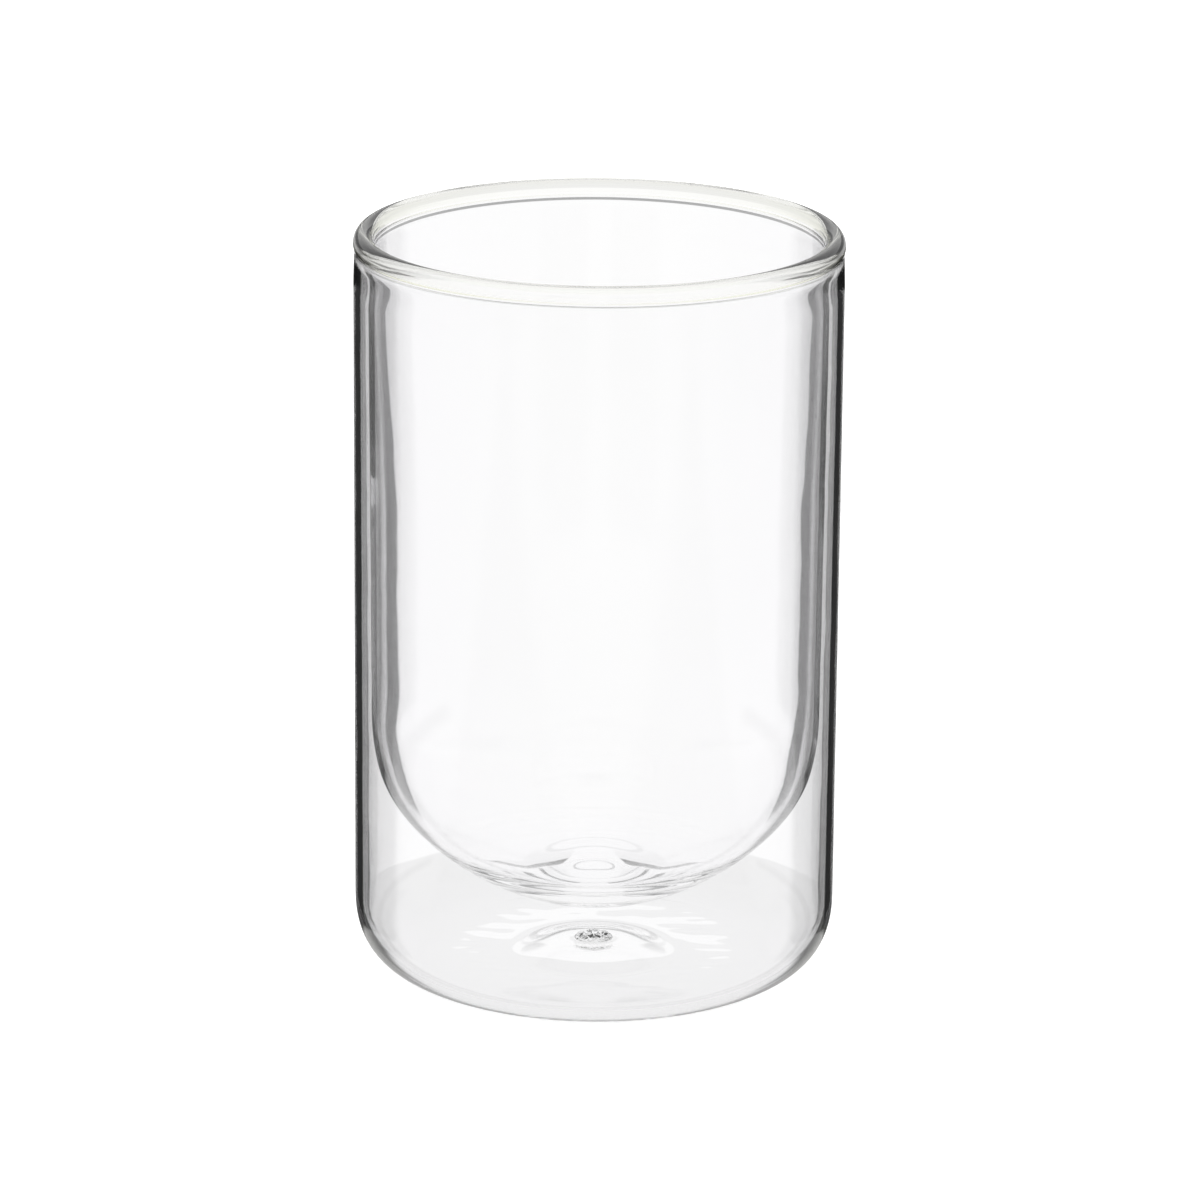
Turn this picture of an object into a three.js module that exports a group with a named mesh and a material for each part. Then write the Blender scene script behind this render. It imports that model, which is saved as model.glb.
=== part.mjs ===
// A double-walled drinking glass: an inner cup hangs inside an outer cup, and both are fused
// together in one solid rim. The air between them is closed off by a flame-sealed vent in the base.
// Millimetres, +Z up, origin at the middle of the foot, on the surface that the glass stands on.
import * as THREE from "three";

// Overall size and walls
const outerDiameter = 80;
const overallHeight = 125;
const outerWallTop = 1.12; // outer cup, where the rim stands on it
const outerWallFoot = 1.3; // outer cup, just above its corner
const airGap = 1.38; // between the two upright walls, at the rim
const cupDraft = 0.4; // how much the inner cup narrows from the rim down to its bowl
const innerWall = 1.42;
const innerThinning = 0.45; // the inner wall is drawn out thinner towards the rim
const thinningRun = 45; // height over which it thins

// Fused rim
const rimDepth = 9; // from the lip down to where the rim stands on the two walls
const beadHalf = 1.65; // half width of the rounded bead
const beadRise = 2; // half height of the bead
const beadTuck = 24; // degrees that the bead turns in under its widest points
const gapCover = 2.6; // from the lip down to the top of the air gap
const archRise = 2.4; // the top of the gap rounds off over this height

// Bowl at the bottom of the inner cup
const bowlLift = 9; // lowest glass of the bowl above the floor of the outer cup
const bowlDepth = 28.3; // height over which the upright wall curves in to the middle
const bowlFullness = 1.73; // exponent of the curve: 2 is an ellipse, less is more pointed
const floorThickness = 1; // of the bowl, before the gather, the dome and the dimple
const gatherRise = 5.4; // glass that ran together in the middle of the floor
const gatherRadius = 29;
const domeRise = 2; // on top of the gather
const domeRadius = 12;
const dimpleDepth = 0.6; // mark left underneath, where the bowl was closed
const dimpleRadius = 6.6;

// Base of the outer cup
const baseThickness = 1.5;
const cornerSize = 13; // height and width of the rounded corner between wall and foot
const cornerFullness = 2.6; // exponent of the corner's curve
const kickRadius = 14; // the middle of the base is pushed up inside this radius
const kickRise = 2;

// Flame-sealed vent
const ventRadius = 1.8; // hole through the base
const sealClearance = 0.3; // between the seal's stem and the hole
const sealOverlap = 1.4; // how far the seal's head covers the glass round the hole
const sealHeight = 1.4; // head above the glass that it sits on
const landMargin = 0.9; // flat glass round the seal's head

// Fineness of the turned surfaces
const turns = 48;
const sealTurns = 24;
const cornerSteps = 10;
const beadSteps = 16;
const neckSteps = 4;
const archSteps = 8;
const wallSteps = 8;
const centreSteps = 8;
const bowlSteps = 12;
const kickSteps = 6;
const headSteps = 5;

// Heights
const rimJoint = overallHeight - rimDepth;
const gapTop = overallHeight - gapCover;
const bowlBottom = baseThickness + bowlLift;
const bowlTop = bowlBottom + bowlDepth;
const landTop = baseThickness + kickRise;

// Radii
const outerRadius = outerDiameter / 2;
const sealRadius = ventRadius + sealOverlap;
const landRadius = sealRadius + landMargin;

const glass = (color) =>
  new THREE.MeshStandardMaterial({
    color,
    roughness: 0.03,
    metalness: 0,
    transparent: true,
    opacity: 0.35,
  });

// Falls from 1 at the middle to 0 at the edge, level at both ends.
function swell(share) {
  return share >= 1 ? 0 : 0.5 + 0.5 * Math.cos(Math.PI * share);
}

// Values evenly spaced from one end to the other, both ends included.
function spread(from, to, steps) {
  return Array.from({ length: steps + 1 }, (_, i) => from + ((to - from) * i) / steps);
}

// Radii of the upright faces at a height: inside of the outer cup, outside and inside of the inner cup.
const sleeveAtRim = outerRadius - outerWallTop;
const sleeveAtFoot = outerRadius - outerWallFoot;

function cupAt(z) {
  return sleeveAtRim - airGap - (cupDraft * (rimJoint - z)) / (rimJoint - bowlTop);
}

function boreAt(z) {
  return cupAt(z) - innerWall + innerThinning * swell((rimJoint - z) / thinningRun);
}

// A quarter of a superellipse: across and up are its half axes, and angle 0 lies on the across axis.
function cornerPoint(centreR, centreZ, across, up, fullness, angle) {
  const power = 2 / fullness;
  const r = centreR + across * Math.pow(Math.abs(Math.cos(angle)), power);
  const z = centreZ + up * Math.pow(Math.abs(Math.sin(angle)), power);
  return new THREE.Vector2(r, z);
}

// One face of the bowl, from the axis out to the upright wall, with the lift of its middle added.
function bowlFace(radius, depth, lift) {
  const start = Math.asin(Math.pow(domeRadius / radius, bowlFullness / 2));
  const curved = spread(start, Math.PI / 2, bowlSteps).slice(1);
  const outerRadii = curved.map((angle) => radius * Math.pow(Math.sin(angle), 2 / bowlFullness));
  const radii = [...spread(0, domeRadius, centreSteps), ...outerRadii];
  return radii.map((r) => {
    const drop = Math.pow(Math.max(0, 1 - Math.pow(r / radius, bowlFullness)), 1 / bowlFullness);
    return new THREE.Vector2(r, bowlTop - depth * drop + lift(r));
  });
}

// The pushed-up middle of the base, on a face whose flat part is at height foot.
function kickFace(foot) {
  return spread(landRadius, kickRadius, kickSteps).map((r) => {
    const share = (r - landRadius) / (kickRadius - landRadius);
    return new THREE.Vector2(r, foot + kickRise * swell(share));
  });
}

// Turns a profile, drawn anticlockwise as radius and height, about +Z.
function turned(name, profile, color, segments = turns) {
  const geometry = new THREE.LatheGeometry(profile, segments);
  geometry.rotateX(Math.PI / 2);
  const mesh = new THREE.Mesh(geometry, glass(color));
  mesh.name = name;
  return mesh;
}

const closed = (profile) => [...profile, profile[0].clone()];

// Inner cup: a thin upright wall that runs down into a deep bowl with a gather of glass in its floor.
function innerCup() {
  const mark = (r) => dimpleDepth * swell(r / dimpleRadius);
  const heap = (r) => gatherRise * swell(r / gatherRadius) + domeRise * swell(r / domeRadius);
  const underside = bowlFace(cupAt(bowlTop), bowlDepth, mark);
  const inside = bowlFace(boreAt(bowlTop), bowlDepth - floorThickness, heap);
  const bore = spread(rimJoint, bowlTop, wallSteps).slice(0, -1);
  const profile = [
    ...underside,
    new THREE.Vector2(cupAt(rimJoint), rimJoint),
    ...bore.map((z) => new THREE.Vector2(boreAt(z), z)),
    ...inside.reverse(),
  ];
  return turned("inner_cup", profile, 0xeef2ef);
}

// Outer cup: an upright wall, a full rounded corner, a flat foot and a pushed-up middle with a vent.
function outerCup() {
  const cornerR = outerRadius - cornerSize;
  const corner = (inset, bottom) =>
    spread(-Math.PI / 2, 0, cornerSteps).map((angle) => {
      const depth = cornerSize - bottom;
      const point = cornerPoint(cornerR, 0, cornerSize - inset, depth, cornerFullness, angle);
      return point.set(point.x, cornerSize - point.y);
    });
  const under = [new THREE.Vector2(ventRadius, kickRise), ...kickFace(0)];
  const above = [new THREE.Vector2(ventRadius, landTop), ...kickFace(baseThickness)];
  const profile = [
    ...under,
    ...corner(0, 0),
    new THREE.Vector2(outerRadius, rimJoint),
    new THREE.Vector2(sleeveAtRim, rimJoint),
    ...corner(outerRadius - sleeveAtFoot, baseThickness).reverse(),
    ...above.reverse(),
  ];
  return turned("outer_cup", closed(profile), 0xe9efec);
}

// Fused rim: a rounded bead on a short neck, whose two legs stand on the walls of the cups.
function rimBead() {
  const tuck = THREE.MathUtils.degToRad(beadTuck);
  const beadMiddle = outerRadius - beadHalf;
  const beadLevel = overallHeight - beadRise;
  const bead = spread(-tuck, Math.PI + tuck, beadSteps).map(
    (angle) => new THREE.Vector2(beadMiddle + beadHalf * Math.cos(angle), beadLevel + beadRise * Math.sin(angle)),
  );
  const creaseOut = bead[0];
  const creaseIn = bead[beadSteps];
  const neck = (crease, foot) =>
    spread(rimJoint, crease.y, neckSteps)
      .slice(0, -1)
      .map((z) => {
        const share = swell((z - rimJoint) / (crease.y - rimJoint));
        return new THREE.Vector2(crease.x + (foot - crease.x) * share, z);
      });
  const cupRadius = cupAt(rimJoint);
  const archMiddle = (cupRadius + sleeveAtRim) / 2;
  const archHalf = airGap / 2;
  const spring = gapTop - archRise;
  const arch = spread(Math.PI, 0, archSteps).map(
    (angle) => new THREE.Vector2(archMiddle + archHalf * Math.cos(angle), spring + archRise * Math.sin(angle)),
  );
  const profile = [
    new THREE.Vector2(sleeveAtRim, rimJoint),
    ...neck(creaseOut, outerRadius),
    ...bead,
    ...neck(creaseIn, boreAt(rimJoint)).reverse(),
    new THREE.Vector2(cupRadius, rimJoint),
    ...arch,
  ];
  return turned("rim_bead", closed(profile), 0xdfe6d3);
}

// Vent seal: a drop of melted glass with its stem in the vent and its head on the land round it.
function ventSeal() {
  const stemRadius = ventRadius - sealClearance;
  const head = spread(0, Math.PI / 2, headSteps).map(
    (angle) => new THREE.Vector2(sealRadius * Math.cos(angle), landTop + sealHeight * Math.sin(angle)),
  );
  const profile = [
    new THREE.Vector2(0, kickRise),
    new THREE.Vector2(stemRadius, kickRise),
    new THREE.Vector2(stemRadius, landTop),
    ...head.slice(0, -1),
    new THREE.Vector2(0, landTop + sealHeight),
  ];
  return turned("vent_seal", profile, 0xe4ebe8, sealTurns);
}

const tumbler = new THREE.Group();
tumbler.name = "double_walled_glass";
tumbler.add(innerCup(), outerCup(), rimBead(), ventSeal());

export default tumbler;
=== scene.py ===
import math

import bpy
from mathutils import Matrix, Vector, noise


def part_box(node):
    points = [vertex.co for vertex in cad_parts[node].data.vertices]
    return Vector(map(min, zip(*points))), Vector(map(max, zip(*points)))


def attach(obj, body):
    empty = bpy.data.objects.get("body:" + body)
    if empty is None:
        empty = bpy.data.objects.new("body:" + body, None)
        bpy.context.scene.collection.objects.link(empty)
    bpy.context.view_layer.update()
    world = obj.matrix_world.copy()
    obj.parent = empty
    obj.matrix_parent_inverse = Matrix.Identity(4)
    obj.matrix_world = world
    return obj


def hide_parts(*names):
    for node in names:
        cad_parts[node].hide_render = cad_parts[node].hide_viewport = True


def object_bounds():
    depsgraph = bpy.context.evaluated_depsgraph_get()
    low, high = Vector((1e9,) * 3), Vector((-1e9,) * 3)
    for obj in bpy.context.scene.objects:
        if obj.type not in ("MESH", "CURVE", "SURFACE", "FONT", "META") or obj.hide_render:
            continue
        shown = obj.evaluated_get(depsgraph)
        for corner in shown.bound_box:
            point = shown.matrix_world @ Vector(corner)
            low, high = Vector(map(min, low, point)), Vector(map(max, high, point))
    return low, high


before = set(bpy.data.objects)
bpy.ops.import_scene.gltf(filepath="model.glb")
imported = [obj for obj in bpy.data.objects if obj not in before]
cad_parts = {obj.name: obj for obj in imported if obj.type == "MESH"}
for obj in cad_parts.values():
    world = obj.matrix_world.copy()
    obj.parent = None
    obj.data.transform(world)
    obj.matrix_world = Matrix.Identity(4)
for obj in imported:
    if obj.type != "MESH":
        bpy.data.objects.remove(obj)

cadLow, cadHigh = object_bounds()  # the box round the loaded parts; the box that the glass has to stay in
mm = 0.001
scene = bpy.context.scene
print("frame loaded:", ", ".join(sorted(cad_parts)))

# sizes shared by all the glass, in millimetres
walls = {
    "outerTop": 1.12,
    "outerFoot": 1.30,
    "gap": 1.38,     # air between the two upright walls, at the rim
    "draft": 0.40,   # the inner cup narrows this much from the rim to its bowl
    "inner": 1.42,
    "thinning": 0.45,  # the inner wall is drawn out towards the rim
    "thinRun": 45.0,
    "turns": 256,    # steps round each turned piece, the same for all so that fused faces meet
    "stepUp": 1.6,   # height of a step on an upright wall
    "joint": 0.002,  # half of the hair's breadth between two fused faces
    "sharp": 35.0,   # edges past this many degrees stay sharp
}

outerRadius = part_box("outer_cup")[1].x / mm
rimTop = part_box("rim_bead")[1].z / mm
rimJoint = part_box("outer_cup")[1].z / mm
wallEnd = rimJoint - walls["joint"]
rimStart = rimJoint + walls["joint"]

# camera, solved from the outline of the glass in the 1200 pixel frame
view = {
    "frame": 1200,
    "focal": 5939.4,         # in pixels of that frame
    "distance": 980.2,       # from the middle of the glass
    "elevation": 16.76,
    "roll": 0.504,           # the picture leans clockwise
    "middle": (596.45, 599.55),  # where the middle of the glass falls
}


def placeCamera():
    half = view["frame"] / 2
    tilt = math.radians(view["elevation"])
    lean = math.radians(view["roll"])
    target = Vector((0, 0, rimTop / 2))
    back = Vector((0, -math.cos(tilt), math.sin(tilt)))
    right, up = Vector((1, 0, 0)), Vector((0, math.sin(tilt), math.cos(tilt)))
    place = target + back * view["distance"]
    scale = view["distance"] / view["focal"]  # millimetres per pixel at the glass
    aim = target + right * (half - view["middle"][0]) * scale - up * (half - view["middle"][1]) * scale
    ahead = (aim - place).normalized()
    right = ahead.cross(Vector((0, 0, 1))).normalized()
    up = right.cross(ahead)
    leanRight = right * math.cos(lean) + up * math.sin(lean)
    leanUp = up * math.cos(lean) - right * math.sin(lean)
    data = bpy.data.cameras.new("camera")
    data.sensor_width = 36
    data.lens = data.sensor_width * view["focal"] / view["frame"]
    data.clip_end = 50
    camera = bpy.data.objects.new("camera", data)
    turn = Matrix((leanRight, leanUp, -ahead)).transposed().to_4x4()
    camera.matrix_world = Matrix.Translation(place * mm) @ turn
    scene.collection.objects.link(camera)
    scene.camera = camera


placeCamera()
print("camera placed")


# curves

def spread(start, end, steps):
    return [start + (end - start) * i / steps for i in range(steps + 1)]


def swell(share):  # 1 at the middle, 0 at the edge, level at both ends
    return 0.0 if share >= 1 else 0.5 + 0.5 * math.cos(math.pi * share)


def upright(radiusAt, start, end):
    steps = max(1, round(abs(end - start) / walls["stepUp"]))
    return [(radiusAt(z), z) for z in spread(start, end, steps)]


def outerAt(z):
    return outerRadius


def sleeveAt(z):  # inside of the outer cup
    share = (rimJoint - z) / (rimJoint - base["corner"])
    return outerRadius - walls["outerTop"] - (walls["outerFoot"] - walls["outerTop"]) * share


def cupAt(z):  # outside of the inner cup
    share = (rimJoint - z) / (rimJoint - bowlTop)
    return outerRadius - walls["outerTop"] - walls["gap"] - walls["draft"] * share


def boreAt(z):  # inside of the inner cup
    return cupAt(z) - walls["inner"] + walls["thinning"] * swell((rimJoint - z) / walls["thinRun"])


# turned glass: strips are drawn anticlockwise as (radius, height), each with the number of its material

def turnGlass(name, strips, materials, shift):
    points, numbers = [], []
    for strip, number in strips:
        points.extend(strip if not points else strip[1:])
        numbers.extend([number] * (len(strip) - 1))
    ring = points[0][0] > 0
    if ring:
        points.pop()  # the last point is the first one again
    count, turns = len(points), walls["turns"]
    verts, rows = [], []
    for radius, height in points:
        if radius == 0:
            rows.append([len(verts)] * turns)
            verts.append(Vector((0, 0, height)) * mm)
            continue
        row = []
        for k in range(turns):
            angle = 2 * math.pi * k / turns
            r, z = shift(radius, height, angle)
            row.append(len(verts))
            verts.append(Vector((r * math.cos(angle), r * math.sin(angle), z)) * mm)
        rows.append(row)
    faces, slots = [], []
    for i in range(count if ring else count - 1):
        low, high = rows[i], rows[(i + 1) % count]
        for k in range(turns):
            n = (k + 1) % turns
            face = [low[k], low[n], high[n], high[k]]
            face = [v for j, v in enumerate(face) if v not in face[:j]]
            faces.append(face)
            slots.append(numbers[i])
    mesh = bpy.data.meshes.new(name)
    mesh.from_pydata(verts, [], faces)
    for material in materials:
        mesh.materials.append(material)
    mesh.polygons.foreach_set("material_index", slots)
    mesh.polygons.foreach_set("use_smooth", [True] * len(faces))
    mesh.set_sharp_from_angle(angle=math.radians(walls["sharp"]))
    mesh.update()
    piece = bpy.data.objects.new(name, mesh)
    scene.collection.objects.link(piece)
    return piece


# glass

def clearGlass(name, look):
    material = bpy.data.materials.new(name)
    material.use_nodes = True
    nodes, links = material.node_tree.nodes, material.node_tree.links
    shader = nodes["Principled BSDF"]
    shader.inputs["IOR"].default_value = look["bend"]
    shader.inputs["Transmission Weight"].default_value = 1.0
    place = nodes.new("ShaderNodeTexCoord")
    cloud = nodes.new("ShaderNodeTexNoise")  # slow drift of the melt
    cloud.inputs["Scale"].default_value = look["driftScale"]
    cloud.inputs["Detail"].default_value = look["driftDetail"]
    links.new(place.outputs["Object"], cloud.inputs["Vector"])
    tint = nodes.new("ShaderNodeMix")
    tint.data_type = "RGBA"
    tint.inputs["A"].default_value = (*look["pale"], 1)
    tint.inputs["B"].default_value = (*look["deep"], 1)
    links.new(cloud.outputs["Fac"], tint.inputs["Factor"])
    facing = nodes.new("ShaderNodeLayerWeight")  # more colour where the glass is seen edge on: the glass's own tint along long paths, and painted shade that darkens the silhouettes
    facing.inputs["Blend"].default_value = look["tintAndShadeBlend"]
    edge = nodes.new("ShaderNodeMix")
    edge.data_type = "RGBA"
    links.new(facing.outputs["Facing"], edge.inputs["Factor"])
    links.new(tint.outputs["Result"], edge.inputs["A"])
    edge.inputs["B"].default_value = (*look["edge"], 1)
    links.new(edge.outputs["Result"], shader.inputs["Base Color"])
    haze = nodes.new("ShaderNodeMapRange")
    haze.inputs["To Min"].default_value = 0.0
    haze.inputs["To Max"].default_value = look["haze"]
    links.new(cloud.outputs["Fac"], haze.inputs["Value"])
    links.new(haze.outputs["Result"], shader.inputs["Roughness"])
    return material


def fusedFace(name):  # melted through: nothing to see where two pieces are one glass
    material = bpy.data.materials.new(name)
    material.use_nodes = True
    material.node_tree.nodes["Principled BSDF"].inputs["Alpha"].default_value = 0.0
    return material


wallGlass = {
    "bend": 1.47,         # index of refraction
    "pale": (1.0, 1.0, 1.0),
    "deep": (0.985, 0.985, 0.985),
    # painted shade: the walls go a little grey where they are seen edge on
    "edge": (0.97, 0.965, 0.98),
    "tintAndShadeBlend": 0.35,
    "driftScale": 30.0,
    "driftDetail": 2.0,
    "haze": 0.004,
}
rimGlass = {
    **wallGlass,
    "pale": (1.0, 1.0, 0.99),
    "deep": (0.97, 0.97, 0.95),
    # edge on, the rim goes olive: its own tint along long paths, with painted shade at the silhouettes
    "edge": (0.80, 0.81, 0.64),
    "driftScale": 40.0,
}

innerGlass = clearGlass("inner_glass", wallGlass)
outerGlass = clearGlass("outer_glass", wallGlass)
rimMelt = clearGlass("rim_glass", rimGlass)
neckGlass = clearGlass("neck_glass", wallGlass)
sealMelt = clearGlass("seal_glass", wallGlass)
fusedWall = fusedFace("fused_wall")
fusedRim = fusedFace("fused_rim")
print("glass mixed")


# inner cup

bowl = {
    "bottom": 10.5,
    "depth": 28.3,
    "fullness": 1.73,
    "floor": 1.0,
    "gatherRise": 5.4,    # glass that ran together in the middle of the floor
    "gatherRadius": 29.0,
    "domeRise": 2.0,
    "domeRadius": 12.0,
    "dimpleDepth": 0.6,   # round mark underneath
    "dimpleRadius": 6.6,
    "steps": 44,
    "bunch": 1.6,         # the steps crowd towards the middle
}
bowlTop = bowl["bottom"] + bowl["depth"]

# marks of blowing, on both cups
blown = {
    "ripple": 0.012,      # waves in the blown walls
    "waveUp": 9.0,        # from wave to wave, up and round the wall
    "waveRound": 22.0,
    "offCentre": 0.10,    # the bore sits this far to the right, so the wall on the left is thicker
    "calm": 10.0,         # no waves this close to the fused rim
    "ease": 6.0,          # the wall leads into the bowl over this height
    "easeSteps": 12,
    "fine": 0.5,          # smaller waves on top of the large ones: size, how much closer round and up
    "finer": (2.0, 2.3),
    "outsideShare": 0.4,  # the outer cup is smoother than the inner one
    "sleeveShare": 0.7,
    "draws": {"outside": 3.1, "sleeve": 7.7, "cup": 5.3, "bore": 9.2},
    "floorRipple": 0.04,  # drawn lines in the floor of the outer cup
    "streak": (14.0, 5.0),
    "fineStreak": (5.0, 2.5),
}


def still(radius, height, angle):
    return radius, height


def wave(height, angle, draw):
    across, up = outerRadius / blown["waveRound"], height / blown["waveUp"]
    x, y = across * math.cos(angle), across * math.sin(angle)
    closer, closerUp = blown["finer"]
    size = noise.noise(Vector((x + draw, y, up)))
    size += blown["fine"] * noise.noise(Vector((x * closer + draw, y * closer, up * closerUp)))
    rest = min(1.0, max(0.0, (rimJoint - height) / blown["calm"]))
    return blown["ripple"] * size * rest * rest * (3 - 2 * rest)


def streak(radius, angle):  # drawn lines in the floor of the outer cup
    x, y = radius * math.cos(angle), radius * math.sin(angle)
    (wide, deep), (fineWide, fineDeep) = blown["streak"], blown["fineStreak"]
    size = noise.noise(Vector((x / wide, y / deep, 1.0)))
    return size + blown["fine"] * noise.noise(Vector((x / fineWide, y / fineDeep, 4.0)))


def blownOuter(radius, height, angle):
    draws = blown["draws"]
    if height < base["corner"]:
        low, high = base["kickRadius"], outerRadius - base["corner"]
        if height < base["floor"] / 2 or not low < radius < high:
            return radius, height
        share = abs(2 * radius - low - high) / (high - low)
        return radius, height + blown["floorRipple"] * swell(share) * streak(radius, angle)
    start = min(1.0, (height - base["corner"]) / blown["calm"])
    if radius == outerRadius:  # drawn in a little, to stay inside the box
        dip = wave(height, angle, draws["outside"]) - blown["ripple"]
        return radius + blown["outsideShare"] * dip * start, height
    return radius + blown["sleeveShare"] * wave(height, angle, draws["sleeve"]) * start, height


def bowlAt(height, wall, deep):  # radius of one face of the cup, bowl and upright wall
    if height >= bowlTop:
        return wall(height)
    drop = min(1.0, (bowlTop - height) / deep)
    return wall(bowlTop) * (1 - drop ** bowl["fullness"]) ** (1 / bowl["fullness"])


def blownInner(radius, height, angle):
    run = 2 * blown["ease"]
    if height < bowlTop - run:
        return radius, height
    wall, deep, draw = cupAt, bowl["depth"], blown["draws"]["cup"]
    toCup = abs(radius - bowlAt(height, cupAt, deep))
    if toCup > abs(radius - bowlAt(height, boreAt, deep - bowl["floor"])):
        wall, deep, draw = boreAt, deep - bowl["floor"], blown["draws"]["bore"]
    near = spread(height - blown["ease"], height + blown["ease"], blown["easeSteps"])
    around = [bowlAt(z, wall, deep) for z in near]
    eased = sum(around) / len(around) - bowlAt(height, wall, deep)
    radius += eased * swell(abs(height - bowlTop) / run)
    start = 1 - swell(max(0.0, height - bowlTop) / blown["calm"])
    radius += start * wave(height, angle, draw)
    if wall is boreAt:
        end = 1 - swell((rimJoint - height) / (4 * blown["calm"]))
        radius += start * end * blown["offCentre"] * math.cos(angle)
    return radius, height


def bowlFace(radius, depth, lift):
    full = bowl["fullness"]
    face = []
    for angle in spread(0, math.pi / 2, bowl["steps"]):
        share = math.sin(angle) ** bowl["bunch"]
        drop = max(0.0, 1 - share ** full) ** (1 / full)
        face.append((radius * share, bowlTop - depth * drop + lift(radius * share)))
    face[0] = (0, face[0][1])
    face[-1] = (radius, bowlTop)
    return face


def makeInnerCup():
    under = bowlFace(cupAt(bowlTop), bowl["depth"],
                     lambda r: bowl["dimpleDepth"] * swell(r / bowl["dimpleRadius"]))
    inside = bowlFace(boreAt(bowlTop), bowl["depth"] - bowl["floor"],
                      lambda r: bowl["gatherRise"] * swell(r / bowl["gatherRadius"])
                      + bowl["domeRise"] * swell(r / bowl["domeRadius"]))
    strips = [
        (under, 0),
        (upright(cupAt, bowlTop, wallEnd), 0),
        ([(cupAt(wallEnd), wallEnd), (boreAt(wallEnd), wallEnd)], 1),
        (upright(boreAt, wallEnd, bowlTop), 0),
        (inside[::-1], 0),
    ]
    return turnGlass("inner_cup_glass", strips, [innerGlass, fusedWall], blownInner)


# outer cup

base = {
    "floor": 1.5,
    "corner": 13.0,
    "cornerFullness": 2.6,
    "kickRadius": 14.0,
    "kickRise": 2.0,
    "vent": 1.8,
    "sealRadius": 3.2,
    "landRadius": 4.1,
    "steps": 28,
}
landTop = base["floor"] + base["kickRise"]


def kickFace(foot):
    low, high = base["landRadius"], base["kickRadius"]
    return [(r, foot + base["kickRise"] * swell((r - low) / (high - low)))
            for r in spread(low, high, base["steps"])]


def cornerFace(inset, bottom):
    power = 2 / base["cornerFullness"]
    face = []
    for angle in spread(0, math.pi / 2, base["steps"]):
        r = outerRadius - base["corner"] + (base["corner"] - inset) * math.sin(angle) ** power
        z = base["corner"] - (base["corner"] - bottom) * max(0.0, math.cos(angle)) ** power
        face.append((r, z))
    face[-1] = (outerRadius - inset, base["corner"])
    return face


def makeOuterCup():
    under = [(base["vent"], base["kickRise"])] + kickFace(0) + cornerFace(0, 0)
    ring = spread(base["kickRadius"], outerRadius - base["corner"], base["steps"])[1:-1]
    above = kickFace(base["floor"]) + [(r, base["floor"]) for r in ring]
    above += cornerFace(walls["outerFoot"], base["floor"])
    strips = [
        (under, 0),
        (upright(outerAt, base["corner"], wallEnd), 0),
        ([(outerRadius, wallEnd), (sleeveAt(wallEnd), wallEnd)], 1),
        (upright(sleeveAt, wallEnd, base["corner"]), 0),
        (above[::-1] + [(base["sealRadius"], landTop)], 0),
        ([(base["sealRadius"], landTop), (base["vent"], landTop), (base["vent"], base["kickRise"])], 1),
    ]
    return turnGlass("outer_cup_glass", strips, [outerGlass, fusedWall], blownOuter)


# fused rim

rim = {
    "beadHalf": 1.65,    # half width of the rounded bead
    "beadRise": 2.0,     # half height
    "tuck": 24.0,        # degrees that the bead turns in under its widest points
    "gapTop": 122.4,
    "archRise": 2.4,     # the air gap rounds off over this height
    "steps": 48,
}


def makeRim():
    bore, cup, sleeve = boreAt(rimStart), cupAt(rimStart), sleeveAt(rimStart)
    middle = outerRadius - rim["beadHalf"]
    level = rimTop - rim["beadRise"]
    tuck = math.radians(rim["tuck"])
    bead = [(middle + rim["beadHalf"] * math.cos(a), level + rim["beadRise"] * math.sin(a))
            for a in spread(-tuck, math.pi, rim["steps"])]
    neckOut, crease = bead[0]
    neckIn = bead[-1][0]

    def neck(top, radius, foot):  # leads from the wall up to the bead
        tall = top - rimStart
        return [(radius + (foot - radius) * swell((z - rimStart) / tall), z)
                for z in spread(rimStart, top, rim["steps"] // 2)]

    outside, inside = neck(crease, neckOut, outerRadius), neck(level, neckIn, bore)
    spring = rim["gapTop"] - rim["archRise"]
    gapMiddle, gapHalf = (cup + sleeve) / 2, (sleeve - cup) / 2
    arch = [(gapMiddle + gapHalf * math.cos(a), spring + rim["archRise"] * math.sin(a))
            for a in spread(math.pi, 0, rim["steps"])]
    arch = [(cup, rimStart)] + arch + [(sleeve, rimStart)]
    strips = [
        ([(sleeve, rimStart), (outerRadius, rimStart)], 1),
        (outside, 2),
        (bead, 0),
        (inside[::-1], 2),
        ([(bore, rimStart), (cup, rimStart)], 1),
        (arch, 2),
    ]
    return turnGlass("rim_glass_ring", strips, [rimMelt, fusedRim, neckGlass], still)


# sealed vent

seal = {
    "rise": 1.15,
    "uneven": 0.95,   # how far the molten drop slumped, as a share of its height
    "lump": 1.1,      # from lump to lump
    "fine": 0.3,      # smaller lumps on top: size, how much closer
    "finer": 2.3,
    "steps": 24,
}


def slumped(radius, height, angle):
    above = height - landTop
    if above <= 0.02 * seal["rise"]:  # the edge stays on the glass round the vent
        return radius, height
    x, y = radius * math.cos(angle) / seal["lump"], radius * math.sin(angle) / seal["lump"]
    drop = 0.5 + 0.5 * noise.noise(Vector((x + 1.7, y + 0.4, 2.0)))
    drop += seal["fine"] * noise.noise(Vector((x * seal["finer"], y * seal["finer"], 5.0)))
    return radius, height - above * seal["uneven"] * min(1.0, max(0.0, drop))


def makeSeal():
    head = [(base["sealRadius"] * math.cos(a), landTop + seal["rise"] * math.sin(a))
            for a in spread(0, math.pi / 2, seal["steps"])]
    head[-1] = (0, landTop + seal["rise"])
    strips = [
        ([(0, base["kickRise"]), (base["vent"], base["kickRise"])], 0),
        ([(base["vent"], base["kickRise"]), (base["vent"], landTop), (base["sealRadius"], landTop)], 1),
        (head, 0),
    ]
    return turnGlass("vent_seal_glass", strips, [sealMelt, fusedWall], slumped)


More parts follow.
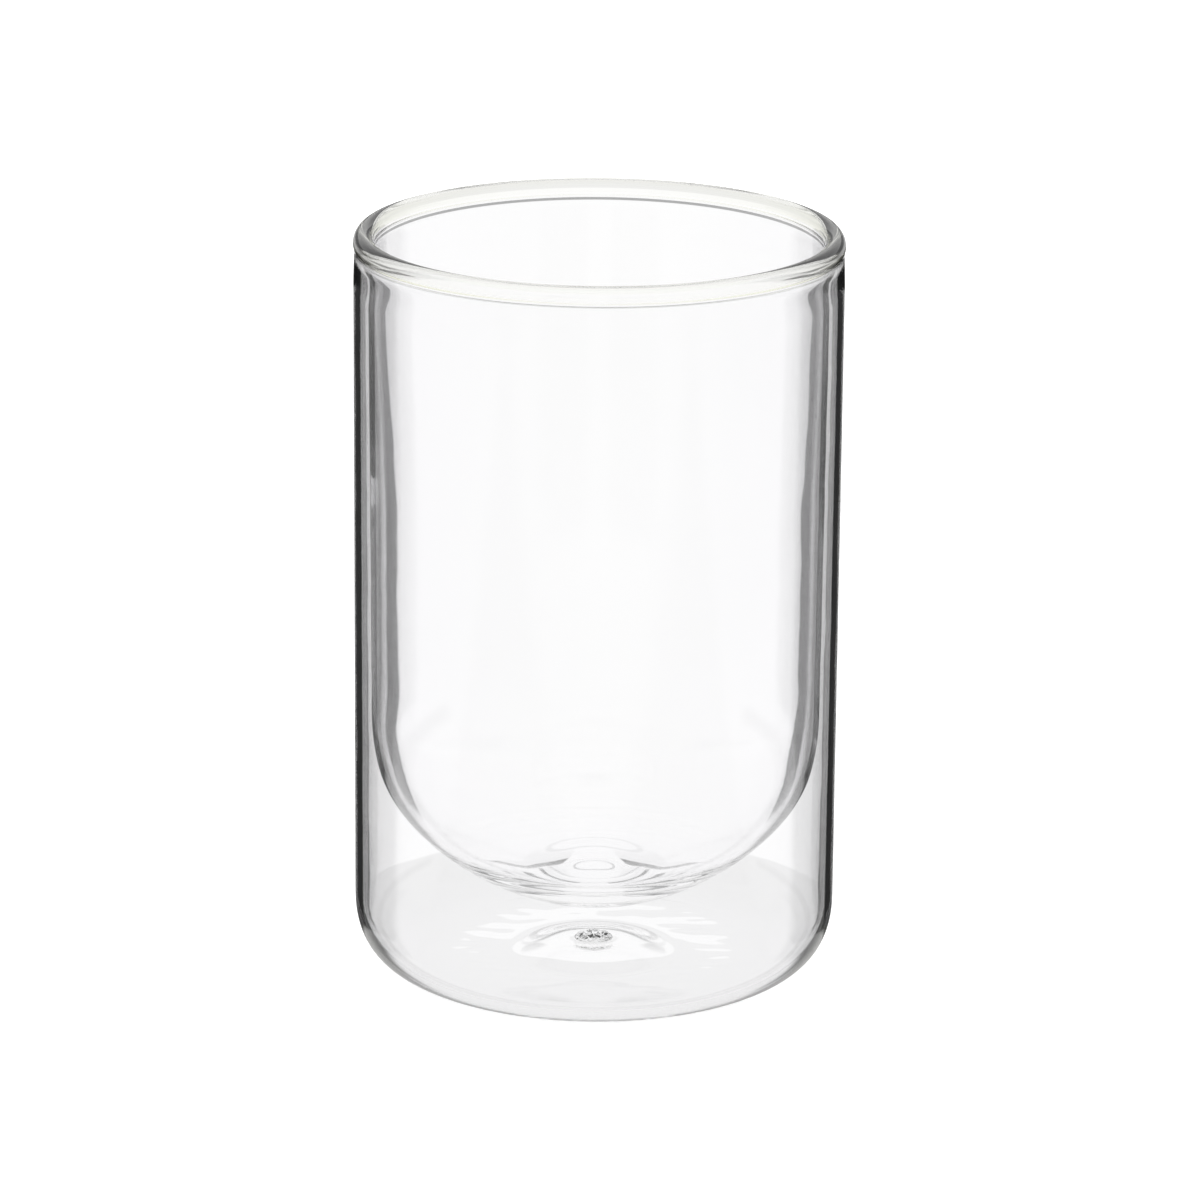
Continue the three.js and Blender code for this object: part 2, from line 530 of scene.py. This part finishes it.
for piece, node, slot in (
    (makeInnerCup(), "inner_cup", "inner_glass"),
    (makeOuterCup(), "outer_cup", "outer_glass"),
    (makeRim(), "rim_bead", "rim_glass"),
    (makeSeal(), "vent_seal", "seal_glass"),
):
    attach(piece, "root")
    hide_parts(node)
    print("made", piece.name, len(piece.data.polygons), "faces")


# studio

studio = {
    "floorRadius": 4.0,      # metres
    "floorDrop": 0.00005,
    "floorColour": (0.93, 0.93, 0.93),
    "floorGlow": 0.60,       # keeps the floor white under the glass
    "fill": 1.5,             # light on the floor
    "exposure": 1.01,
    # Round the glass: a white backdrop, a dark strip, a grey side wall, then white, in degrees off the view.
    # This is not one real room. The strips differ by how many faces of glass the light has crossed and how
    # often it was mirrored, fitted so that each wall of the glass gets its own dark band.
    "backdrop": 11.4,
    "backdropSoft": 0.5,
    "dark": 0.02,
    "throughStrip": 17.5,    # where the strip ends for light that goes straight through
    "outerStrip": 31.0,      # for light that the outer cup turns back
    "outerSide": 0.18,
    "outerTurn": 67.0,       # from here the walls are white
    "shineSide": 0.30,       # the grey wall as the outside mirrors it
    "betweenStrip": 33.0,    # for light that crosses the gap and comes back
    "betweenSide": 1.0,
    "innerStrip": 29.0,      # for light that the inner cup turns back
    "innerSide": 0.10,
    "innerTurn": 58.0,
    "stripSoft": 1.5,
    "turnSoft": 5.0,
    # height of the strips, as the upward part of the direction
    "stripCore": (-0.385, -0.20),  # what the upright walls show
    "coreSoft": 0.03,
    "stripLow": -0.62,       # the strips end above the table and below the ceiling light
    "stripHigh": 0.40,
    "endSoft": 0.1,
    "stripDim": 0.9,         # the strips above and below that core
    "oneWallDim": 0.0,       # the same for light that one wall turns back
    "cupDim": 0.15,          # the same for light that the inner cup turns back
    "room": 0.35,            # dark gap between the backdrop and the soft light above it
    "roomEdge": (-0.06, -0.02),
    "overhead": (0.10, 0.16),
    "tableLine": -0.3565,    # where the backdrop meets the table
    "tableSoft": 0.002,
    "tableLevel": 0.87,
    # faces crossed and bounces of light that gets lost in the thick floor of the bowl
    "deepFrom": 7.5,
    "deepBounce": 1.5,
    "deepLevel": 0.85,
    # light caught for long in the outer cup comes out dark
    "caughtTo": 3.0,
    "caughtBounce": 3.5,
    "caughtLevel": 0.12,
    "rimTint": (0.96, 0.96, 0.86),  # greenish light that the ends of the rim turn back
    "shineWarm": 0.2,        # the outside mirrors a little of it
    "tintSoft": 0.05,        # radians
    "tintEnd": 1.3,
    "bounces": 96,           # light is caught for long in the thick floor of the bowl
    "throughBounces": 48,
    "mirrorBounces": 64,
    "fusedBounces": 32,
}


def makeFloor():
    mesh = bpy.data.meshes.new("studio_floor")
    r = studio["floorRadius"]
    mesh.from_pydata([(-r, -r, 0), (r, -r, 0), (r, r, 0), (-r, r, 0)], [], [(0, 1, 2, 3)])
    floor = bpy.data.objects.new("studio_floor", mesh)
    floor.location.z = cadLow.z - studio["floorDrop"]
    scene.collection.objects.link(floor)
    material = bpy.data.materials.new("studio_floor")
    material.use_nodes = True
    shader = material.node_tree.nodes["Principled BSDF"]
    shader.inputs["Base Color"].default_value = (*studio["floorColour"], 1)
    shader.inputs["Roughness"].default_value = 1.0
    shader.inputs["Specular IOR Level"].default_value = 0.0
    shader.inputs["Emission Color"].default_value = (1, 1, 1, 1)
    shader.inputs["Emission Strength"].default_value = studio["floorGlow"]
    mesh.materials.append(material)
    floor.visible_transmission = False  # the surround stands in for the table inside the glass
    floor.visible_glossy = False


def makeSurround():
    world = bpy.data.worlds.new("studio")
    world.use_nodes = True
    nodes, links = world.node_tree.nodes, world.node_tree.links

    def calc(kind, first, second=0.0, third=0.0):
        node = nodes.new("ShaderNodeMath")
        node.operation = kind
        for socket, value in zip(node.inputs, (first, second, third)):
            if isinstance(value, (int, float)):
                socket.default_value = value
            else:
                links.new(value, socket)
        return node.outputs[0]

    def times(product, *others):
        for other in others:
            product = calc("MULTIPLY", product, other)
        return product

    def without(share):
        return calc("SUBTRACT", 1.0, share)

    def over(value, limit):
        return calc("GREATER_THAN", value, limit)

    def step(value, low, high):
        node = nodes.new("ShaderNodeMapRange")
        node.interpolation_type = "SMOOTHSTEP"
        node.inputs["From Min"].default_value = low
        node.inputs["From Max"].default_value = high
        links.new(value, node.inputs["Value"])
        return node.outputs["Result"]

    def window(value, rise, fall):
        return times(step(value, *rise), without(step(value, *fall)))

    def levels(value, stops, scale):
        node = nodes.new("ShaderNodeValToRGB")
        ramp = node.color_ramp
        while len(ramp.elements) < len(stops):
            ramp.elements.new(0.5)
        for element, (at, level) in zip(ramp.elements, stops):
            element.position = at / scale
            element.color = (level, level, level, 1)
        links.new(calc("DIVIDE", value, math.radians(scale)), node.inputs["Fac"])
        return node.outputs["Color"]

    def blend(share, first, second):  # first where share is 0, second where it is 1
        return calc("ADD", times(first, without(share)), times(second, share))

    def sides(strip, level, turn):
        edge, dark = studio["backdrop"], studio["dark"]
        return [
            (0, 1.0),
            (edge, 1.0),
            (edge + studio["backdropSoft"], dark),
            (strip, dark),
            (strip + studio["stripSoft"], level),
            (turn, level),
            (turn + studio["turnSoft"], 1.0),
        ]

    path = nodes.new("ShaderNodeLightPath")
    crossed, mirrored = path.outputs["Transmission Depth"], path.outputs["Glossy Depth"]
    place = nodes.new("ShaderNodeTexCoord")
    split = nodes.new("ShaderNodeSeparateXYZ")
    links.new(place.outputs["Generated"], split.inputs["Vector"])
    x, y, z = split.outputs
    around = calc("ARCTAN2", x, y)
    off = calc("ABSOLUTE", around)

    def wallLevels(strip, level, turn):
        return levels(off, sides(studio[strip], studio[level], studio[turn]), 180)

    # straight through, the same layout stands on all four sides of the room
    quarter = math.pi / 4
    square = calc("ABSOLUTE", calc("WRAP", around, quarter, -quarter))
    corner = math.degrees(quarter)
    through = levels(square, sides(studio["throughStrip"], 1.0, corner - studio["turnSoft"]), corner)

    # turned back by one of the walls
    outside = calc("LESS_THAN", crossed, 0.5)
    beyondOuter, beyondGap = over(crossed, 2.5), over(crossed, 4.5)
    bounced = over(mirrored, 0.5)
    outer = wallLevels("outerStrip", "outerSide", "outerTurn")
    turned = blend(outside, outer, wallLevels("outerStrip", "shineSide", "outerTurn"))
    turned = blend(beyondOuter, turned, wallLevels("betweenStrip", "betweenSide", "outerTurn"))
    turned = blend(beyondGap, turned, wallLevels("innerStrip", "innerSide", "innerTurn"))
    seen = blend(bounced, through, turned)

    # paler above and below the height that upright walls show
    low, high = studio["stripCore"]
    soft = studio["coreSoft"]
    core = window(z, (low - soft, low), (high, high + soft))
    oneWall = times(calc("COMPARE", crossed, 2.0, 0.5), bounced)
    inCup = times(calc("COMPARE", crossed, 6.0, 0.5), bounced)
    dim = studio["stripDim"]
    faint = calc("MULTIPLY_ADD", oneWall, studio["oneWallDim"] - dim, dim)
    faint = calc("MULTIPLY_ADD", inCup, studio["cupDim"] - dim, faint)
    seen = calc("MAXIMUM", seen, times(without(core), faint))
    bottom, top, soft = studio["stripLow"], studio["stripHigh"], studio["endSoft"]
    seen = blend(window(z, (bottom, bottom + soft), (top - soft, top)), 1.0, seen)

    # dark gap, on the backdrop's side only
    above = times(window(z, studio["roomEdge"], studio["overhead"]), over(y, 0.0))
    seen = blend(times(above, without(path.outputs["Is Camera Ray"])), seen, studio["room"])

    # light that stays long in the glass
    lost = times(over(mirrored, studio["deepBounce"]), over(crossed, studio["deepFrom"]), without(core))
    seen = calc("MAXIMUM", seen, times(lost, studio["deepLevel"]))
    caught = times(over(mirrored, studio["caughtBounce"]), calc("LESS_THAN", crossed, studio["caughtTo"]))
    seen = blend(caught, seen, studio["caughtLevel"])

    # table, only seen through the outer cup
    reach = calc("MAXIMUM", calc("ABSOLUTE", x), calc("ABSOLUTE", y))
    line, level = studio["tableLine"], studio["tableLevel"]
    clear = step(calc("DIVIDE", z, reach), line - studio["tableSoft"], line)
    clear = calc("MAXIMUM", clear, beyondGap)
    seen = times(seen, calc("MULTIPLY_ADD", clear, 1 - level, level))

    # tint of the side walls
    lit = over(path.outputs["Diffuse Depth"], 0.5)
    edge, aside = math.radians(studio["outerStrip"]), math.radians(studio["backdrop"])
    end = (math.radians(studio["outerTurn"]), studio["tintEnd"])
    soft = studio["tintSoft"]
    warm = times(outside, bounced, core, without(lit), window(off, (edge - soft, edge), end))
    green = times(oneWall, step(z, high, high + studio["coreSoft"]), window(off, (aside, aside + soft), end))
    tint = nodes.new("ShaderNodeMix")
    tint.data_type = "RGBA"
    tint.inputs["A"].default_value = (1, 1, 1, 1)
    tint.inputs["B"].default_value = (*studio["rimTint"], 1)
    links.new(calc("MAXIMUM", times(warm, studio["shineWarm"]), green), tint.inputs["Factor"])
    background = nodes["Background"]
    links.new(tint.outputs["Result"], background.inputs["Color"])
    seen = times(seen, studio["exposure"])
    links.new(blend(lit, seen, studio["fill"]), background.inputs["Strength"])
    scene.world = world


makeFloor()
makeSurround()
scene.view_settings.view_transform = "Standard"
scene.cycles.max_bounces = studio["bounces"]
scene.cycles.transmission_bounces = studio["throughBounces"]
scene.cycles.glossy_bounces = studio["mirrorBounces"]
scene.cycles.transparent_max_bounces = studio["fusedBounces"]
print("studio lit")
